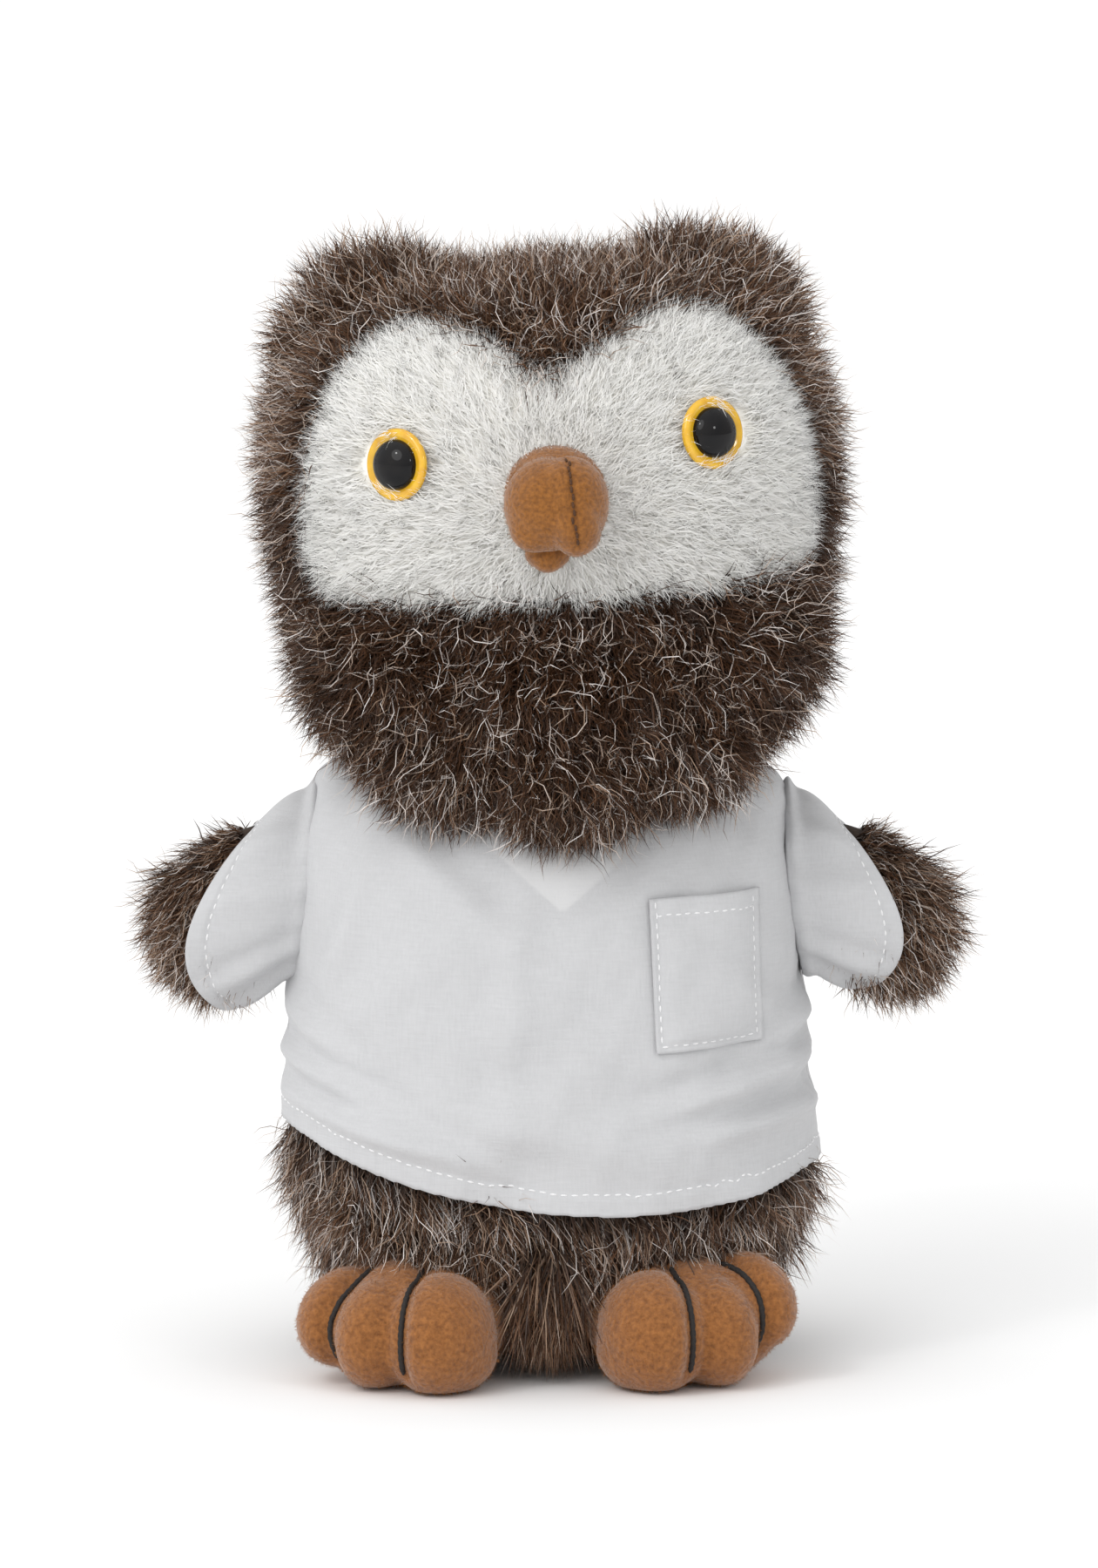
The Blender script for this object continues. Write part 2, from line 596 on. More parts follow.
def head_fur(face, brown, materials):
    rng = np.random.default_rng(21)
    regions = (
        ("crown_fur", lambda q: (q[:, 2] > 176) & (q[:, 1] < 6)),
        ("nape_fur", lambda q: (q[:, 1] >= 6) & (q[:, 2] > 176)),
        ("back_fur", lambda q: (q[:, 1] >= 6) & (q[:, 2] <= 176)),
        ("beard_fur", lambda q: (q[:, 1] < 6) & (q[:, 2] <= 176)),
    )
    pieces = []
    for name, where in regions:
        beard = name == "beard_fur"
        roots, outward = scatter(brown, 5.5, rng, lambda p: where(untilted(p)))
        comb = head_comb(roots)
        if beard:
            comb = comb + 0.6 * ripple(roots, 7, 31)
        pieces.append(strands(
            name, roots, outward, comb, rng, materials["brown_strands"], length=9.0, width=0.27, stand=0.5,
            bend=0.7, mess=0.45, tone=(0.0, 0.50) if beard else (0.04, 0.74), curl=0.25, spread=0.4))
        roots, outward = scatter(brown, 0.55 if beard else 1.1, rng, lambda p: where(untilted(p)))
        comb = head_comb(roots) + 0.5 * ripple(roots, 9, 33)
        pieces.append(strands(
            name.replace("fur", "guard_hairs"), roots, outward, comb, rng, materials["brown_strands"],
            length=13.0, width=0.21, stand=0.62, bend=0.5, mess=0.6, tone=(0.74, 1.0), steps=5, curl=0.8,
            spread=0.35))
    roots, outward = scatter(brown, 1.3, rng, lambda p: (p[:, 2] < 127) & (p[:, 1] < -8))
    pieces.append(strands(
        "beard_stray_hairs", roots, outward, head_comb(roots) + [0, 0, -0.6] + 0.6 * ripple(roots, 8, 35),
        rng, materials["brown_strands"], length=13.0, width=0.20, stand=0.3, bend=0.4, mess=0.5,
        tone=(0.1, 1.0), steps=5, curl=0.6, spread=0.4))
    for name, side in SIDES:
        roots, outward = scatter(face, 9.0, rng, lambda p: (untilted(p)[:, 0] - FACE_SHIFT) * side > 0)
        eye = centre_mm(f"{name}_iris") + [side * 1.2, 0, 0]
        reach = np.linalg.norm(roots - eye, axis=1)
        outer = smoothstep(-2, 4, (roots - eye)[:, 0] * side)
        open_skin = reach > EYE_RADIUS - 1.2 * outer
        roots, outward, reach, outer = (values[open_skin] for values in (roots, outward, reach, outer))
        away = unit(untilted(roots) - np.array([0, -42, 168.0])) * 0.8 + 0.35 * ripple(roots, 5, 41)
        inner = ((1 - outer) * smoothstep(10.5, 8, reach))[:, None]
        clear = unit(roots - eye) * (0.5 * (smoothstep(10, 6, reach) * outer)[:, None] - 1.0 * inner)
        pieces.append(strands(
            f"{name}_face_fur", roots, outward, away + clear, rng, materials["white_strands"],
            length=5.4 + 0.2 * inner, width=0.15, stand=0.38 + 0.07 * inner, bend=0.5, mess=0.28,
            soften=0.95, curl=0.3, spread=0.35))
    for piece in pieces:
        settle(piece, "white_pile" if piece.name.endswith("face_fur") else "brown_pile", "head")


# ---------------------------------------------------------------- eyes and beak

def turned_form(name, profile, place, material):
    """A form turned about its own +Z from (radius, height) points, then placed by a matrix in mm."""
    around = 64
    spin = np.linspace(0, 2 * pi, around, endpoint=False)
    points = np.array([(r * cos(s), r * sin(s), h) for r, h in profile for s in spin])
    points = points @ np.array(place.to_3x3()).T + np.array(place.translation)
    return mesh_from(name, points, capped_faces(len(profile), around), material)


def eyes(materials):
    """A yellow iris disc with a rolled rim, and a high black dome on it."""
    for name, side in SIDES:
        upright = Vector((side * sin(EYE_TURN), -cos(EYE_TURN), 0.1))
        facing = Matrix.Rotation(-HEAD_TILT, 3, "Y") @ upright
        seat = Vector(centre_mm(f"{name}_iris")) - facing * 0.5
        place = Matrix.Translation(seat) @ facing.to_track_quat("Z", "Y").to_matrix().to_4x4()
        roll = 0.9
        turns = np.linspace(-pi / 2, pi / 2, 9)
        rim = [(EYE_RADIUS - roll + roll * cos(t), 0.1 + roll * sin(t)) for t in turns]
        profile = [(0.2, -roll)] + rim + [(PUPIL_RADIUS + 0.5, 0.75), (PUPIL_RADIUS, 0.6), (0.2, 0.6)]
        iris = turned_form(f"{name}_eye_ring", profile, place, materials["iris"])
        rise, post = 3.2, 1.6
        dome = [(PUPIL_RADIUS * cos(t), 0.55 + rise * sin(t)) for t in np.linspace(0, pi / 2 - 0.02, 20)]
        dome = [(0.2, -6.0), (post, -6.0), (post, 0.4), (PUPIL_RADIUS, 0.4)] + dome
        pupil = turned_form(f"{name}_eye_dome", dome, place, materials["pupil"])
        settle(iris, "iris_plastic", "head", f"{name}_iris")
        settle(pupil, "pupil_plastic", "head", f"{name}_pupil")


def surface_path(piece, origins, aims, lift):
    """Where rays from the origins (mm) towards the aims meet the piece, raised by lift."""
    tree = BVHTree.FromObject(piece, bpy.context.evaluated_depsgraph_get())
    path, outward = [], []
    for origin, aim in zip(origins, aims):
        hit = tree.ray_cast(Vector(origin) * MM, Vector(np.asarray(aim) - origin).normalized())
        if hit[0] is not None:
            path.append(np.array(hit[0]) / MM + np.array(hit[1]) * lift)
            outward.append(np.array(hit[1]))
    return np.array(path), np.array(outward)


def stitches(name, path, outward, pitch, fill, radius, material, height, wander):
    """Separate running stitches along a path on a surface, each a small arch of thread."""
    rng = np.random.default_rng(3)
    both = resampled(np.hstack([path, outward]), pitch)
    points, faces = [], []
    rings, around = 7, 6
    for start, end in zip(both[:-1], both[1:]):
        first, last = start[:3], start[:3] + (end[:3] - start[:3]) * fill
        up = unit(start[3:])
        along = unit(last - first)
        across = np.cross(along, up)
        slip = rng.normal(0, 1) * wander
        base = len(points)
        for t in np.linspace(0, 1, rings):
            arch = sin(pi * t)
            middle = first + (last - first) * t + up * (height * arch - radius * 0.6) + across * slip
            size = radius * (0.55 + 0.45 * arch ** 0.5)
            for spin in np.linspace(0, 2 * pi, around, endpoint=False):
                points.append(middle + size * (cos(spin) * across + sin(spin) * up))
        faces += [tuple(base + i for i in face) for face in capped_faces(rings, around)]
    return mesh_from(name, points, faces, material)


def cord_tube(name, path, radius, material):
    """A round yarn along a path, pinched to a point at both ends."""
    around = 10
    path = resampled(smooth_line(path, 60), 0.5)
    along = unit(np.gradient(path, axis=0))
    up = unit(np.cross(along, [0.3, 0.2, 1.0]))
    across = np.cross(along, up)
    ends = np.minimum(np.arange(len(path)), np.arange(len(path))[::-1])
    twist = np.arange(len(path)) * 0.9
    points = []
    for i, centre in enumerate(path):
        size = radius * min(1.0, 0.35 + 0.3 * ends[i])
        for spin in np.linspace(0, 2 * pi, around, endpoint=False):
            strand = 1 + 0.13 * cos(2 * (spin - twist[i]))
            points.append(centre + size * strand * (cos(spin) * across[i] + sin(spin) * up[i]))
    return mesh_from(name, points, capped_faces(len(path), around), material)


def fuzz(name, piece, material, per_mm2, length, rng):
    """The short loose fibres of a felt."""
    roots, outward = scatter(piece, per_mm2, rng)
    lie = np.array([0, 0, -0.2]) + 0.8 * ripple(roots, 3, 77)
    return strands(name, roots, outward, lie, rng, material, length=length, width=0.07, stand=0.45,
                   bend=0.9, mess=0.8, tone=(0.2, 1.0))


def beak(materials):
    """A blunt felt beak with a ridge seam, over a small lower beak."""
    low, high = box_mm("beak_upper")
    x, z = (low[0] + high[0]) / 2, (low[2] + high[2]) / 2
    back = high[1]
    lumps = [
        ball((x - 0.3, back - 1, z + 0.8), (9.8, 9, 9.0)),
        ball((x - 1.8, back - 8, z - 0.8), (8.4, 8.5, 9.0)),
        ball((x + 2.4, back - 9, z - 0.4), (7.6, 8.0, 9.2), (12, 0, 0)),
        ball((x + 3.6, back - 13.2, z - 4.4), (4.8, 4.8, 6.0), (16, 0, 0)),
        ball((x + 5.2, back - 11.0, z - 6.2), (3.2, 3.6, 3.4)),
        ball((x - 4.2, back - 10, z - 4.8), (5.0, 4.6, 5.0)),
    ]
    upper = blob("beak_skin", lumps, 0.7, 7, materials["beak_felt"])
    fill = filling(upper, "beak_fill", 1.0, materials["stuffing"])
    low, high = box_mm("beak_lower")
    middle = (low + high) / 2
    lumps = [
        ball((middle[0] - 0.8, low[1] + 5.5, middle[2] + 0.4), (4.4, 5.2, 3.2)),
        ball((middle[0] - 0.8, low[1] + 3.8, middle[2] - 0.6), (3.0, 3.2, 2.5)),
    ]
    lower = blob("lower_beak_skin", lumps, 0.5, 5, materials["beak_felt"])
    rise = np.linspace(radians(62), radians(-34), 40)
    centre = np.array([x + 2.0, back - 6, z - 0.5])
    origins = [centre + 30 * np.array([0.10 - 0.10 * t, -cos(t), sin(t)]) for t in rise]
    path, outward = surface_path(upper, origins, [centre] * len(rise), 0.0)
    groove = vertices_mm(upper)
    nearest = np.sqrt(((groove[:, None] - path[None]) ** 2).sum(2)).min(1)
    set_vertices_mm(upper, groove - normals_of(upper) * (0.55 * np.exp(-(nearest / 0.8) ** 2))[:, None])
    seam = stitches("beak_stitches", path, outward, 1.5, 0.85, 0.26, materials["seam_thread"], 0.1, 0.12)
    rng = np.random.default_rng(51)
    felt = materials["beak_fuzz"]
    settle(upper, "beak_felt", "head", "beak_upper")
    settle(lower, "beak_felt", "head", "beak_lower")
    settle(fill, "stuffing", "head", "beak_stuffing")
    settle(seam, "dark_thread", "head", "beak_seam")
    settle(fuzz("beak_fuzz", upper, felt, 5.0, 0.9, rng), "beak_felt", "head")
    settle(fuzz("lower_beak_fuzz", lower, felt, 5.0, 0.8, rng), "beak_felt", "head")


# ---------------------------------------------------------------- body and neck

BODY_LINE = [      # half width, half depth, height of the brown skin
    (0, 0, 0.6), (16, 10, 0.6), (21, 14.5, 3.5), (29, 24, 9), (35.5, 30.5, 14), (41, 35, 21),
    (46.5, 39, 32), (48.5, 40.3, 46), (47.8, 40.5, 62), (46.5, 39.6, 76), (45, 37.5, 90),
    (43, 33.5, 101), (38, 27, 108), (28, 19, 112), (12, 9, 113), (0, 0, 113),
]


def body(materials):
    skin = blob("body_skin", [lathe(BODY_LINE, 2.25, 120, 90)], 1.8, 4, materials["brown_skin"])
    fill = filling(skin, "body_fill", 2.0, materials["stuffing"])
    neck_low, neck_high = box_mm("neck_plug")
    neck = blob("neck_fill", [ball((neck_low + neck_high) / 2, (neck_high - neck_low) / 2 - 0.6)], 1.5, 2,
                materials["stuffing"])
    bag_low, bag_high = box_mm("pellet_bag")
    bag_centre = (bag_low + bag_high) / 2
    bag_points, bag_faces = ball(bag_centre, (bag_high - bag_low) / 2 - 0.5, rows=40, around=60)
    bag_points += unit(bag_points - bag_centre) * ripple(bag_points, 4, 9)[:, :1] * 0.5
    bag = mesh_from("pellet_sack", bag_points, bag_faces, materials["pellets"])
    base = turned_form("base_disc", [(0.2, 0.02), (15.5, 0.02), (15.5, 1.0), (0.2, 1.0)],
                       Matrix.Diagonal((1, 0.65, 1, 1)), materials["base_cloth"])
    settle(base, "base_cloth", "torso", "base_panel")
    for piece, node, slot, owner in (
            (skin, "body_cover", "brown_pile", "torso"), (fill, "body_stuffing", "stuffing", "torso"),
            (neck, "neck_plug", "stuffing", "neck"), (bag, "pellet_bag", "pellets", "torso")):
        settle(piece, slot, owner, node)
    return skin


def skirt_fur(skin, materials):
    """The long straight pile that falls from under the hem to the floor."""
    rng = np.random.default_rng(61)
    brown = materials["brown_strands"]
    pieces = []
    layers = (
        ("skirt_fur", 4.2, 12.5, 0.26, (0.0, 0.68), 3, 0.2),
        ("skirt_guard_hairs", 1.7, 14.5, 0.18, (0.70, 1.0), 5, 0.6),
    )
    for name, density, length, width, tone, steps, curl in layers:
        roots, outward = scatter(
            skin, density, rng, lambda p: (p[:, 2] < hem_height(p) + 4) & (p[:, 2] > 10))
        x, y, z = np.abs(roots[:, :1]), roots[:, 1:2], roots[:, 2:]
        below_hem = hem_height(roots)[:, None] - z
        over_feet = smoothstep(-14, -28, y) * smoothstep(6, 14, x) * smoothstep(18, 24, z)
        over_feet = over_feet * smoothstep(3, 9, below_hem)
        bare = np.maximum(smoothstep(-3, 5, below_hem), smoothstep(28, 38, x))
        fall = np.array([0, 0, -1.0]) + 0.5 * ripple(roots, 8, 71)
        clear_floor = 1.0 + 8.0 * smoothstep(5, -20, y)
        lengths = np.clip((z - clear_floor) * 1.05, 2.5, length)
        pieces.append(strands(
            name, roots, outward, fall, rng, brown, length=lengths, width=width,
            stand=0.06 + 0.18 * bare + 0.45 * over_feet, bend=0.7, mess=0.22 if steps == 3 else 0.3,
            tone=tone, steps=steps, curl=curl))
    roots, outward = scatter(
        skin, 7.0, rng, lambda p: (p[:, 2] <= 15) & (p[:, 2] > 3) & (p[:, 1] > -14))
    lengths = np.minimum(8.0, (roots[:, 2:] - 0.6) * 0.95)
    pieces.append(strands(
        "low_fur", roots, outward, np.array([0, 0, -1.0]) + 0.3 * ripple(roots, 6, 72), rng, brown,
        length=lengths, width=0.30, stand=0.15, bend=0.5, mess=0.18, tone=(0.0, 0.36)))

    def between_feet(p):
        below_hem = p[:, 2] < np.minimum(30, hem_height(p) - 4)
        return (np.abs(p[:, 0] + 1.5) < 9) & (p[:, 1] < -22) & (p[:, 2] > 8) & below_hem

    roots, outward = scatter(skin, 16.0, rng, between_feet)
    lengths = np.clip(roots[:, 2:] - 3.0 - 0.4 * np.abs(roots[:, :1] + 1.5), 3.0, 22.0)
    gather = np.stack([-0.05 * (roots[:, 0] + 1.5), 0 * roots[:, 0], 0 * roots[:, 0] - 1.0], 1)
    pieces.append(strands(
        "middle_tuft", roots, outward, gather + 0.35 * ripple(roots, 4, 73), rng, brown, length=lengths,
        width=0.30, stand=0.32, bend=0.55, mess=0.22, tone=(0.02, 0.82), patchy=0.15))
    for piece in pieces:
        keep_above_floor(piece)
        settle(piece, "brown_pile", "torso")


# ---------------------------------------------------------------- wings

def wing_frame(name, side):
    """The shoulder, the way out along the wing, and up across it, in millimetres."""
    shoulder = np.array(JOINTS[f"{name}_wing_lift"]["pos_m"]) / MM
    droop = radians(WING_DROOP)
    along = np.array([side * cos(droop), 0, -sin(droop)])
    across = np.array([side * sin(droop), 0, cos(droop)])
    return shoulder, along, across


def wings(materials):
    rng = np.random.default_rng(81)
    for name, side in SIDES:
        shoulder, along, across = wing_frame(name, side)
        droop = (0, side * WING_DROOP, 0)

        def at(u, v, y=0.0):
            return shoulder + along * u + across * v + np.array([0, y, 0])

        skin = blob(f"{name}_wing_skin", [
            ball(at(15, 0), (17, 7.5, 12.0), droop),
            ball(at(24, -1.5), (10, 6.0, 11.5), droop),
            ball(at(1, 1), (8, 7.5, 8.5), droop)], 1.2, 8, materials["brown_skin"])
        fill = filling(skin, f"{name}_wing_fill", 1.6, materials["stuffing"])
        settle(skin, "brown_pile", f"{name}_wing", f"{name}_wing_cover")
        settle(fill, "stuffing", f"{name}_wing", f"{name}_wing_stuffing")

        def outside_sleeve(p):
            return (p - shoulder) @ along > 15 - 4.5 * smoothstep(3, 7, (p - shoulder) @ across)

        for layer, density, length, width, tone, steps, curl in (
                ("fur", 7.0, 9.0, 0.24, (0.05, 0.76), 3, 0.2),
                ("guard_hairs", 2.0, 11.5, 0.17, (0.68, 1.0), 5, 0.7)):
            roots, outward = scatter(skin, density, rng, outside_sleeve)
            reach = (roots - shoulder) @ along
            comb = along + np.array([0, 0, -0.7]) + 0.45 * ripple(roots, 8, 83)
            lengths = length * (0.5 + 0.5 * smoothstep(12, 24, reach))[:, None]
            hairs = strands(
                f"{name}_wing_{layer}", roots, outward, comb, rng, materials["brown_strands"],
                length=lengths, width=width, stand=0.42, bend=0.7, mess=0.5, tone=tone, spread=0.4,
                steps=steps, curl=curl)
            settle(hairs, "brown_pile", f"{name}_wing")


# ---------------------------------------------------------------- feet

def feet(materials):
    """Felt feet of three toes each, with a flat sole and black yarn between the toes."""
    rng = np.random.default_rng(91)
    for name, side in SIDES:
        low, high = box_mm(f"{name}_foot_cover")
        ankle = (low + high) / 2 + ([-2.0, 5.5, 0] if side > 0 else [0, 3.0, 0])
        turn = side * 23.0
        spin = np.array(Matrix.Rotation(radians(turn), 3, "Z"))

        def at(x, y, z):
            return spin @ np.array([side * x, y, z]) + [ankle[0], ankle[1], 0]

        lumps = [ball(at(0, 2, 11.5), (19.5, 18, 12.5), (8, 0, turn))]
        outer_toe = 15.0 if side > 0 else 12.4
        toes = (   # across, forward, height, half width, half height
            (-10.6, -8.0, 11.0, 10.6, 12.0), (2.0, -7.5, 10.4, 8.4, 10.8), (11.2, -3.5, outer_toe, 8.2, 9.4),
        )
        for x, y, z, half, tall in toes:
            splay = turn + side * x * 0.8
            lumps.append(ball(at(x, y, z), (half, 13.0, tall), (10, 0, splay)))
            lumps.append(ball(at(x, y + 1, z - 3.5), (half, 11.5, tall - 3.5), (0, 0, splay)))
        skin = blob(f"{name}_foot_skin", lumps, 0.9, 4, materials["foot_felt"])
        seams = []
        for x in (-4.6, 7.0):
            rise = np.linspace(radians(-14), radians(76), 50)
            centre = at(x * 0.82, 2, 9.0)
            ray = [spin @ np.array([side * x * 0.035 * cos(t), -cos(t), sin(t)]) for t in rise]
            seams.append(surface_path(skin, [centre + 45 * r for r in ray], [centre] * len(ray), 0.0)[0])
        points = vertices_mm(skin)
        for path in seams:
            near = np.sqrt(((points[:, None] - path[None, ::2]) ** 2).sum(2)).min(1)
            points = points - normals_of(skin) * (1.2 * np.exp(-(near / 1.7) ** 2))[:, None]
        flattened = np.maximum(points[:, 2] * 0.3 + 0.56, 0.02)
        points[:, 2] = np.where(points[:, 2] < 0.8, flattened, points[:, 2])
        set_vertices_mm(skin, points)
        skin = with_modifiers(skin, ("SMOOTH", {"factor": 0.4, "iterations": 2}))
        keep_above_floor(skin)
        fill = filling(skin, f"{name}_foot_fill", 1.4, materials["stuffing"])
        tubes = []
        for k, path in enumerate(seams):
            middle = at(0, 2, 9)
            line, _ = surface_path(skin, path + (path - middle) * 0.5, [middle] * len(path), 0.25)
            line = line[line[:, 2] > 0.7]
            tubes.append(cord_tube(f"{name}_toe_yarn_{k + 1}", line[::4], 0.55, materials["dark_thread"]))
        felt = fuzz(f"{name}_foot_fuzz", skin, materials["foot_fuzz"], 5.5, 1.0, rng)
        keep_above_floor(felt)
        body = f"{name}_foot"
        settle(skin, "foot_felt", body, f"{name}_foot_cover")
        settle(fill, "stuffing", body, f"{name}_foot_stuffing")
        settle(felt, "foot_felt", body)
        for tube in tubes:
            settle(tube, "dark_thread", body, f"{name}_toe_stitches")


# ---------------------------------------------------------------- scrub top

GARMENT = [        # half width, half depth, height: from under the hem up to the neck hole
    (53.0, 46.0, 30), (52.3, 45.4, 40), (51.2, 44.8, 52), (50.4, 44.2, 64), (49.6, 43.2, 76),
    (48.8, 41.6, 88), (48.0, 38.6, 98), (47.0, 34.0, 106), (44.8, 27.5, 112.5), (40.0, 20.5, 116),
    (31.0, 14.5, 117.4), (22, 10, 117.8),
]
GARMENT_POWER = 2.3
CLOTH = 0.5        # thickness
HEM_SIDE, HEM_DROP, HEM_REACH, HEM_SLANT = 43.0, 9.0, 52.0, 0.085
NECK_TIP, NECK_SLOPE, NECK_SHIFT = 103.0, 0.85, 2.0
FACING_WIDTH = 11.0
HEM_BAND = 4.2
STITCH = 2.1       # pitch of the machine stitches
THREAD = 0.2


def hem_height(points):
    """The hem sweeps down in front and behind and up at the sides."""
    x = points[:, 0]
    return HEM_SIDE - HEM_DROP * (1 - np.clip(np.abs(x) / HEM_REACH, 0, 1) ** 2) - HEM_SLANT * x


def fold_line(x, z, slope):
    """Distances along a fold and across it, from its middle."""
    return x * cos(slope) + z * sin(slope), z * cos(slope) - x * sin(slope)


def folds(points):
    """How far the cloth stands out of its form: soft folds above the hem and at the armpits."""
    x, y, z = points.T
    front = smoothstep(10, -15, y)
    total = np.zeros(len(points))
    front_marks = (   # x, height, length, width, slope in degrees, depth
        (-43, 57, 16, 2.2, -24, 2.4), (-36, 49, 20, 2.4, -15, 2.3), (-47, 66, 12, 2.6, -38, 1.6),
        (40, 58, 20, 2.4, 15, 2.6), (44, 50, 15, 2.2, 8, 2.2), (46, 67, 13, 2.4, 34, 1.8),
        (-40, 86, 16, 2.6, 74, 1.7), (-34, 74, 18, 3.6, 40, 1.0), (41, 72, 15, 3.0, -38, 1.3),
        (-12, 50, 22, 6.0, 7, 1.1), (14, 46, 20, 5.0, -6, 1.1), (-7, 76, 24, 3.2, 86, 0.9),
        (6, 90, 12, 3.0, 20, 0.7), (-22, 98, 14, 3.0, -40, 0.9),
    )
    for x0, z0, reach, wide, slope, depth in front_marks:
        u, v = fold_line(x - x0, z - z0, radians(slope))
        ridge = np.exp(-(v / wide) ** 2) - 0.55 * np.exp(-((v - 1.9 * wide) / wide) ** 2)
        total += front * depth * ridge * np.exp(-(u / reach) ** 2)
    back = 1 - front
    back_marks = (
        (-30, 60, 26, 4, 62, 1.4), (25, 66, 28, 5, -68, 1.4), (-5, 78, 30, 6, 86, 1.1),
        (8, 48, 26, 4, 8, 1.0),
    )
    for x0, z0, reach, wide, slope, depth in back_marks:
        u, v = fold_line(x - x0, z - z0, radians(slope))
        total += back * depth * np.exp(-(v / wide) ** 2 - (u / reach) ** 2)
    flare = smoothstep(16, 0, z - hem_height(points))
    spin = np.arctan2(y, x)
    total += flare * (0.7 * np.sin(5 * spin + 0.6) + 0.5 * np.sin(9 * spin + 2.0))
    total += 0.45 * ripple(points, 19, 101)[:, 0] + 0.13 * ripple(points * [1, 1, 0.6], 7, 102)[:, 1]
    return total


def neck_line(x):
    """Height of the V neck's edge in front."""
    return NECK_TIP + NECK_SLOPE * np.abs(x - NECK_SHIFT)


def garment_grid(spin):
    """Points of the top over the given angles (0 is the owl's left, -90 degrees its front)."""
    rows = 110
    profile = smooth_line(GARMENT, 400)
    wide, deep = squared_ring(spin, GARMENT_POWER)
    columns = []
    for w, d in zip(wide, deep):
        line = profile * [w * (1.03 if w < 0 else 0.985), d, 1]
        lowest = int(np.argmax(line[:, 2] >= hem_height(line)))
        highest = len(line) - 1
        if d < 0:
            over = (line[:, 2] > neck_line(line[:, 0])) & (np.abs(line[:, 0]) < 36)
            if over.any():
                highest = int(np.argmax(over))
        columns.append(resampled(line[lowest:highest + 1], count=rows))
    return np.stack(columns, 1)


def grid_normals(grid):
    up = np.gradient(grid, axis=0)
    around = np.gradient(grid, axis=1)
    return unit(np.cross(around, up))


def garment_surface(spin):
    """The top's outer surface with its folds, and the outward direction at each point."""
    grid = garment_grid(spin)
    outward = grid_normals(grid)
    flat = grid.reshape(-1, 3)
    grid = grid + outward * folds(flat).reshape(grid.shape[:2])[..., None]
    lift = grid[..., 2] - hem_height(flat).reshape(grid.shape[:2])
    band = smoothstep(HEM_BAND + 0.5, HEM_BAND - 0.5, lift)
    crease = np.exp(-((lift - HEM_BAND) / 0.5) ** 2)
    grid = grid + outward * (0.3 * band - 0.22 * crease)[..., None]
    return grid, grid_normals(grid)


def cloth_piece(name, grid, materials, closed=False, thickness=CLOTH, keep=None):
    rows, columns = grid.shape[:2]
    faces = grid_faces(rows, columns, closed)
    flat = grid.reshape(-1, 3)
    if keep is not None:
        faces = [face for face in faces if keep(flat[list(face)].mean(0))]
    piece = mesh_from(name, flat, faces, materials["cotton"])
    attribute = piece.data.attributes.new("lining", "FLOAT", "POINT")
    drop = neck_line(flat[:, 0]) - flat[:, 2]
    lining = smoothstep(FACING_WIDTH + 0.4, FACING_WIDTH - 0.4, drop) * (flat[:, 1] < -8)
    attribute.data.foreach_set("value", (lining if name == "front_panel" else lining * 0).astype(np.float32))
    return with_modifiers(piece, ("SOLIDIFY", {"thickness": thickness * MM, "offset": -1.0}))


def outside_armhole(point):
    """Whether a face's middle lies off the round hole that each sleeve is sewn to."""
    return abs(point[0]) < 30 or (point[1] / 11.0) ** 2 + ((point[2] - 92) / 14.5) ** 2 > 1


def scrub_top(materials):
    front, _ = garment_surface(np.linspace(-pi, 0, 171))
    back, _ = garment_surface(np.linspace(0, pi, 151))
    front_panel = cloth_piece("front_panel", front, materials, keep=outside_armhole)
    back_panel = cloth_piece("back_panel", back, materials, keep=outside_armhole)
    inner = front - grid_normals(front) * (CLOTH + 0.25)

    def in_facing(point):
        return point[1] < -8 and abs(point[0]) < 33 and neck_line(point[0]) - point[2] < FACING_WIDTH

    facing = cloth_piece("neck_lining", inner, materials, thickness=0.3, keep=in_facing)
    whole, outward = garment_surface(np.linspace(-pi, pi, 361))
    hem_path, hem_out = rim_path(whole, outward, HEM_BAND)
    hem = stitches("hem_stitches", hem_path, hem_out, STITCH, 0.66, THREAD,
                   materials["white_thread"], 0.16, 0.06)
    settle(front_panel, "cotton", "torso", "shirt_front")
    settle(back_panel, "cotton", "torso", "shirt_back")
    settle(facing, "cotton", "torso", "neck_facing")
    settle(hem, "white_thread", "torso", "hem_stitching")
    return front_panel


def rim_path(grid, outward, height):
    """The line that runs the given height above the hem."""
    lift = grid[..., 2] - hem_height(grid.reshape(-1, 3)).reshape(grid.shape[:2])
    rows = np.argmin(np.abs(lift - height), axis=0)
    columns = np.arange(grid.shape[1])
    return grid[rows, columns], outward[rows, columns]


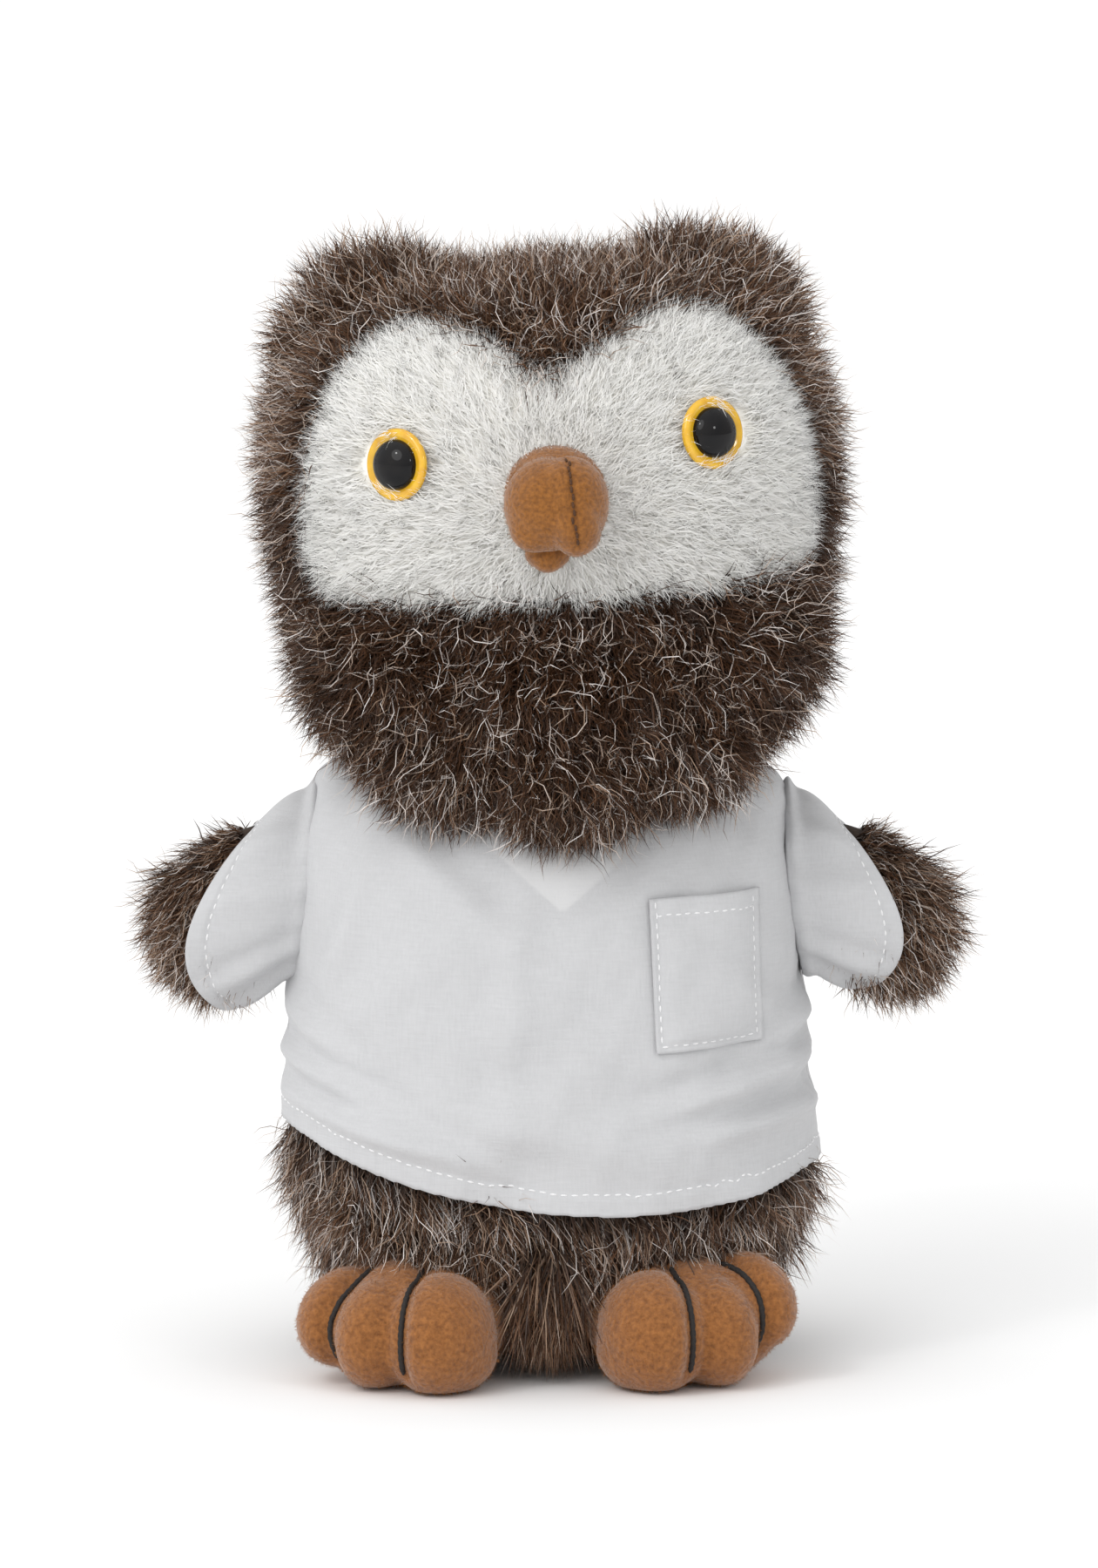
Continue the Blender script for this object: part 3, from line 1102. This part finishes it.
def pocket(front_panel, materials):
    """A patch pocket, sewn along its sides and bottom, with a turned and sewn top edge."""
    low, high = box_mm("chest_pocket")
    corners = np.array([(low[0], high[2]), (high[0] - 0.2, high[2] + 0.5),
                        (high[0] + 0.6, low[2] + 0.9), (low[0] + 1.5, low[2])])
    rows, columns = 46, 36
    wide, tall, top_hem = 21.5, 29.5, 3.4
    flat = []
    for v in np.linspace(0, 1, rows):
        for u in np.linspace(0, 1, columns):
            top = corners[0] * (1 - u) + corners[1] * u
            bottom = corners[3] * (1 - u) + corners[2] * u
            flat.append(top * (1 - v) + bottom * v)
    flat = np.array(flat)
    origins = np.array([(x, -90.0, z) for x, z in flat])
    points, outward = surface_path(front_panel, origins, origins + [0, 60, 0], 0.0)
    grid, normal = points.reshape(rows, columns, 3), outward.reshape(rows, columns, 3)
    normal = unit(normal.mean((0, 1)) + 0.3 * normal)
    u = np.linspace(0, 1, columns)[None, :]
    v = np.linspace(0, 1, rows)[:, None]
    sides = np.minimum(u, 1 - u) * wide
    edge = np.minimum(sides, (1 - v) * tall)
    puff = 0.85 + 0.8 * smoothstep(0.5, 5, np.minimum(sides, (1 - v) * 40))
    seam_dip = 0.4 * np.exp(-((edge - 1.1) / 0.35) ** 2)
    top_dip = 0.2 * np.exp(-((v * tall - top_hem) / 0.4) ** 2)
    left_fold = 0.25 * smoothstep(1.5, 1.2, u * wide)
    height = puff - seam_dip - top_dip + left_fold + 0.12 * np.sin(9 * u + 5 * v)
    grid = grid + normal * height[..., None]
    patch = cloth_piece("pocket_patch", grid[::-1], materials)

    def line(cells):
        return np.array([grid[r, c] for r, c in cells]), np.array([normal[r, c] for r, c in cells])

    inset = 2
    down = [(r, inset) for r in range(1, rows - inset)]
    across = [(rows - 1 - inset, c) for c in range(inset, columns - inset)]
    up = [(r, columns - 1 - inset) for r in range(rows - 1 - inset, 0, -1)]
    top_row = round(top_hem / tall * (rows - 1))
    top = [(top_row, c) for c in range(inset, columns - inset)]
    threads = []
    for k, cells in enumerate((down, across, up, top)):
        threads.append(stitches(f"pocket_stitches_{k + 1}", *line(cells), 1.9, 0.66, THREAD,
                                materials["white_thread"], 0.14, 0.05))
    settle(patch, "cotton", "torso", "chest_pocket")
    for thread in threads:
        settle(thread, "white_thread", "torso", "pocket_stitching")


def sleeves(materials):
    """Short set-in sleeves: gathered a little at the cap, with a sewn hem, around each wing."""
    rows, around = 44, 120
    length, hem_width = 19.0, 3.0
    hole_height, hole_deep, hole_tall = 92.5, 13.5, 18.0
    for name, side in SIDES:
        spin = np.linspace(0, 2 * pi, around, endpoint=False)
        tall, deep = np.cos(spin), np.sin(spin)
        start_y, start_z = hole_deep * deep, hole_height + hole_tall * tall
        profile = smooth_line(GARMENT, 400)
        half_wide = np.interp(start_z, profile[:, 2], profile[:, 0])
        half_deep = np.interp(start_z, profile[:, 2], profile[:, 1])
        share = 1 - np.clip(np.abs(start_y) / half_deep, 0, 0.98) ** GARMENT_POWER
        start_x = half_wide * share ** (1 / GARMENT_POWER) - 0.9
        start = np.stack([side * start_x, start_y, start_z], 1)
        out_x, middle_z, half_tall, bulge = (59.5, 87.5, 15.2, 8.0) if side > 0 else (61.0, 84.8, 17.3, 9.5)
        hem_out = bulge * np.abs(deep) ** 1.6 * (1 - 0.3 * tall) - 2.2 * tall
        hem = np.stack([side * hem_out, 13.6 * deep - 1.0, half_tall * tall], 1)
        hem = np.array([side * out_x, 0, middle_z]) + hem
        t = np.linspace(0, 1, rows)[:, None, None]
        grid = start * (1 - t) + hem * t
        out = unit(np.stack([0 * deep, deep / hole_deep, tall / hole_tall], 1))
        t = t[..., 0]
        cap = 1.9 * np.exp(-((t - 0.08) / 0.09) ** 2) * (0.35 + 0.65 * smoothstep(0.1, 0.9, tall))
        belly = np.sin(pi * t) * (1.5 + 0.7 * tall) + cap
        pucker = 0.28 * np.sin(16 * spin) * np.exp(-(t / 0.16) ** 2)
        creases = 0.35 * np.sin(3 * spin + 4 * t)
        marks = (   # angle round the sleeve, slope, width, depth
            (3.70, -0.50, 0.13, 1.4), (4.10, -0.25, 0.12, 1.2), (4.70, 0.35, 0.15, 0.9),
            (5.40, 0.2, 0.14, 1.0), (2.40, 0.50, 0.15, 1.3), (1.95, 0.30, 0.13, 1.0),
            (1.10, -0.30, 0.16, 0.9),
        )
        for at_spin, slope, wide, depth in marks:
            line = (spin - at_spin - slope * t) / wide
            ridge = np.exp(-line ** 2) - 0.5 * np.exp(-(line - 2) ** 2)
            creases += depth * ridge * np.sin(pi * t) ** 0.7
        reach = (1 - t) * length
        band = 0.25 * smoothstep(3.4, 2.6, reach) - 0.2 * np.exp(-((reach - hem_width) / 0.4) ** 2)
        swell = belly + pucker + creases + band
        grid = grid + out * swell[..., None]
        if side > 0:
            grid = grid[:, ::-1]
        piece = cloth_piece(f"{name}_sleeve_cloth", grid, materials, closed=True)
        row = int((1 - hem_width / length) * (rows - 1))
        path = np.vstack([grid[row], grid[row, :1]])
        away = unit(path - path.mean(0))
        thread = stitches(f"{name}_sleeve_stitches", path, away, STITCH, 0.66, THREAD,
                          materials["white_thread"], 0.14, 0.05)
        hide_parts(f"{name}_sleeve")
        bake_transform(piece)
        settle(thread, "white_thread", f"{name}_wing", f"{name}_sleeve_stitching")


# ---------------------------------------------------------------- camera, light and floor

def stage():
    """A long-lens camera, a wide white floor and three lamps; camera and lamps are placed in metres."""
    distance, lens, rise = 2.6, 306.5, radians(8)
    centre = Vector((-0.0006, 0, 0.1113))
    camera = bpy.data.objects.new("camera", bpy.data.cameras.new("camera"))
    bpy.context.scene.collection.objects.link(camera)
    camera.data.lens = lens
    camera.data.sensor_width = 36
    camera.location = centre + distance * Vector((0, -cos(rise), sin(rise)))
    camera.rotation_euler = (pi / 2 - rise, 0, 0)
    bpy.context.scene.camera = camera

    floor_material, tree, shader = node_material("floor", (0.95, 0.95, 0.95), 0.9)
    tone = noise(tree, 0.004, 1.0)
    tree.links.new(ramp(tree, tone, (0.0, (0.94, 0.94, 0.94)), (1.0, (0.96, 0.96, 0.96))),
                   shader.inputs["Base Color"])
    half = 20000
    floor = mesh_from("floor", [(-half, -half, 0), (half, -half, 0), (half, half, 0), (-half, half, 0)],
                      [(0, 1, 2, 3)], floor_material)

    studio_world()
    lights = (
        ("sun", "SUN", (-0.7, -0.95, 1.0), 0.67), ("key", "AREA", (-0.8, -0.9, 1.2), 1.75),
        ("fill", "AREA", (0.9, -1.0, 0.7), 0.88),
    )
    for name, kind, place, power in lights:
        lamp = bpy.data.objects.new(name, bpy.data.lights.new(name, kind))
        lamp.data.energy = power
        if kind == "SUN":
            lamp.data.angle = radians(40)
        else:
            lamp.data.size = 0.16
        lamp.location = place
        lamp.rotation_euler = (Vector((0, 0, 0.11)) - Vector(place)).to_track_quat("-Z", "Y").to_euler()
        bpy.context.scene.collection.objects.link(lamp)
    bpy.context.scene.view_settings.view_transform = "Standard"


def studio_world():
    """White behind the toy, and a soft gradient before it, brightest above and to one side."""
    world = bpy.data.worlds.new("studio")
    world.use_nodes = True
    tree = world.node_tree
    direction = add_node(tree, "ShaderNodeTexCoord").outputs["Generated"]
    parts = add_node(tree, "ShaderNodeSeparateXYZ", {"Vector": direction})
    behind = add_node(tree, "ShaderNodeMapRange", {
        "Value": parts.outputs["Y"], "From Min": 0.0, "From Max": 0.4})
    toward = add_node(tree, "ShaderNodeVectorMath", {
        0: direction, 1: (-0.5, -0.25, 0.83)}, operation="DOT_PRODUCT")
    front = add_node(tree, "ShaderNodeMapRange", {
        "Value": toward.outputs["Value"], "From Min": -0.6, "From Max": 0.9, "To Min": 0.49, "To Max": 1.13})
    strength = add_node(tree, "ShaderNodeMath", {
        0: behind.outputs[0], 1: front.outputs[0]}, operation="MAXIMUM")
    tree.links.new(strength.outputs[0], tree.nodes["Background"].inputs["Strength"])
    tree.nodes["Background"].inputs["Color"].default_value = (1, 1, 1, 1)
    bpy.context.scene.world = world


def inner_nodes(materials):
    """The eye washers, the CAD pieces that stay as they are inside the head."""
    for node in ("left_eye_washer", "right_eye_washer"):
        for slot in frame["nodes"][node].material_slots:
            slot.material = materials["washer_plastic"]


def main():
    stage()
    materials = make_materials()
    face, brown = head_skins(materials)
    head_fur(face, brown, materials)
    eyes(materials)
    beak(materials)
    skin = body(materials)
    skirt_fur(skin, materials)
    wings(materials)
    feet(materials)
    front_panel = scrub_top(materials)
    pocket(front_panel, materials)
    sleeves(materials)
    inner_nodes(materials)


main()
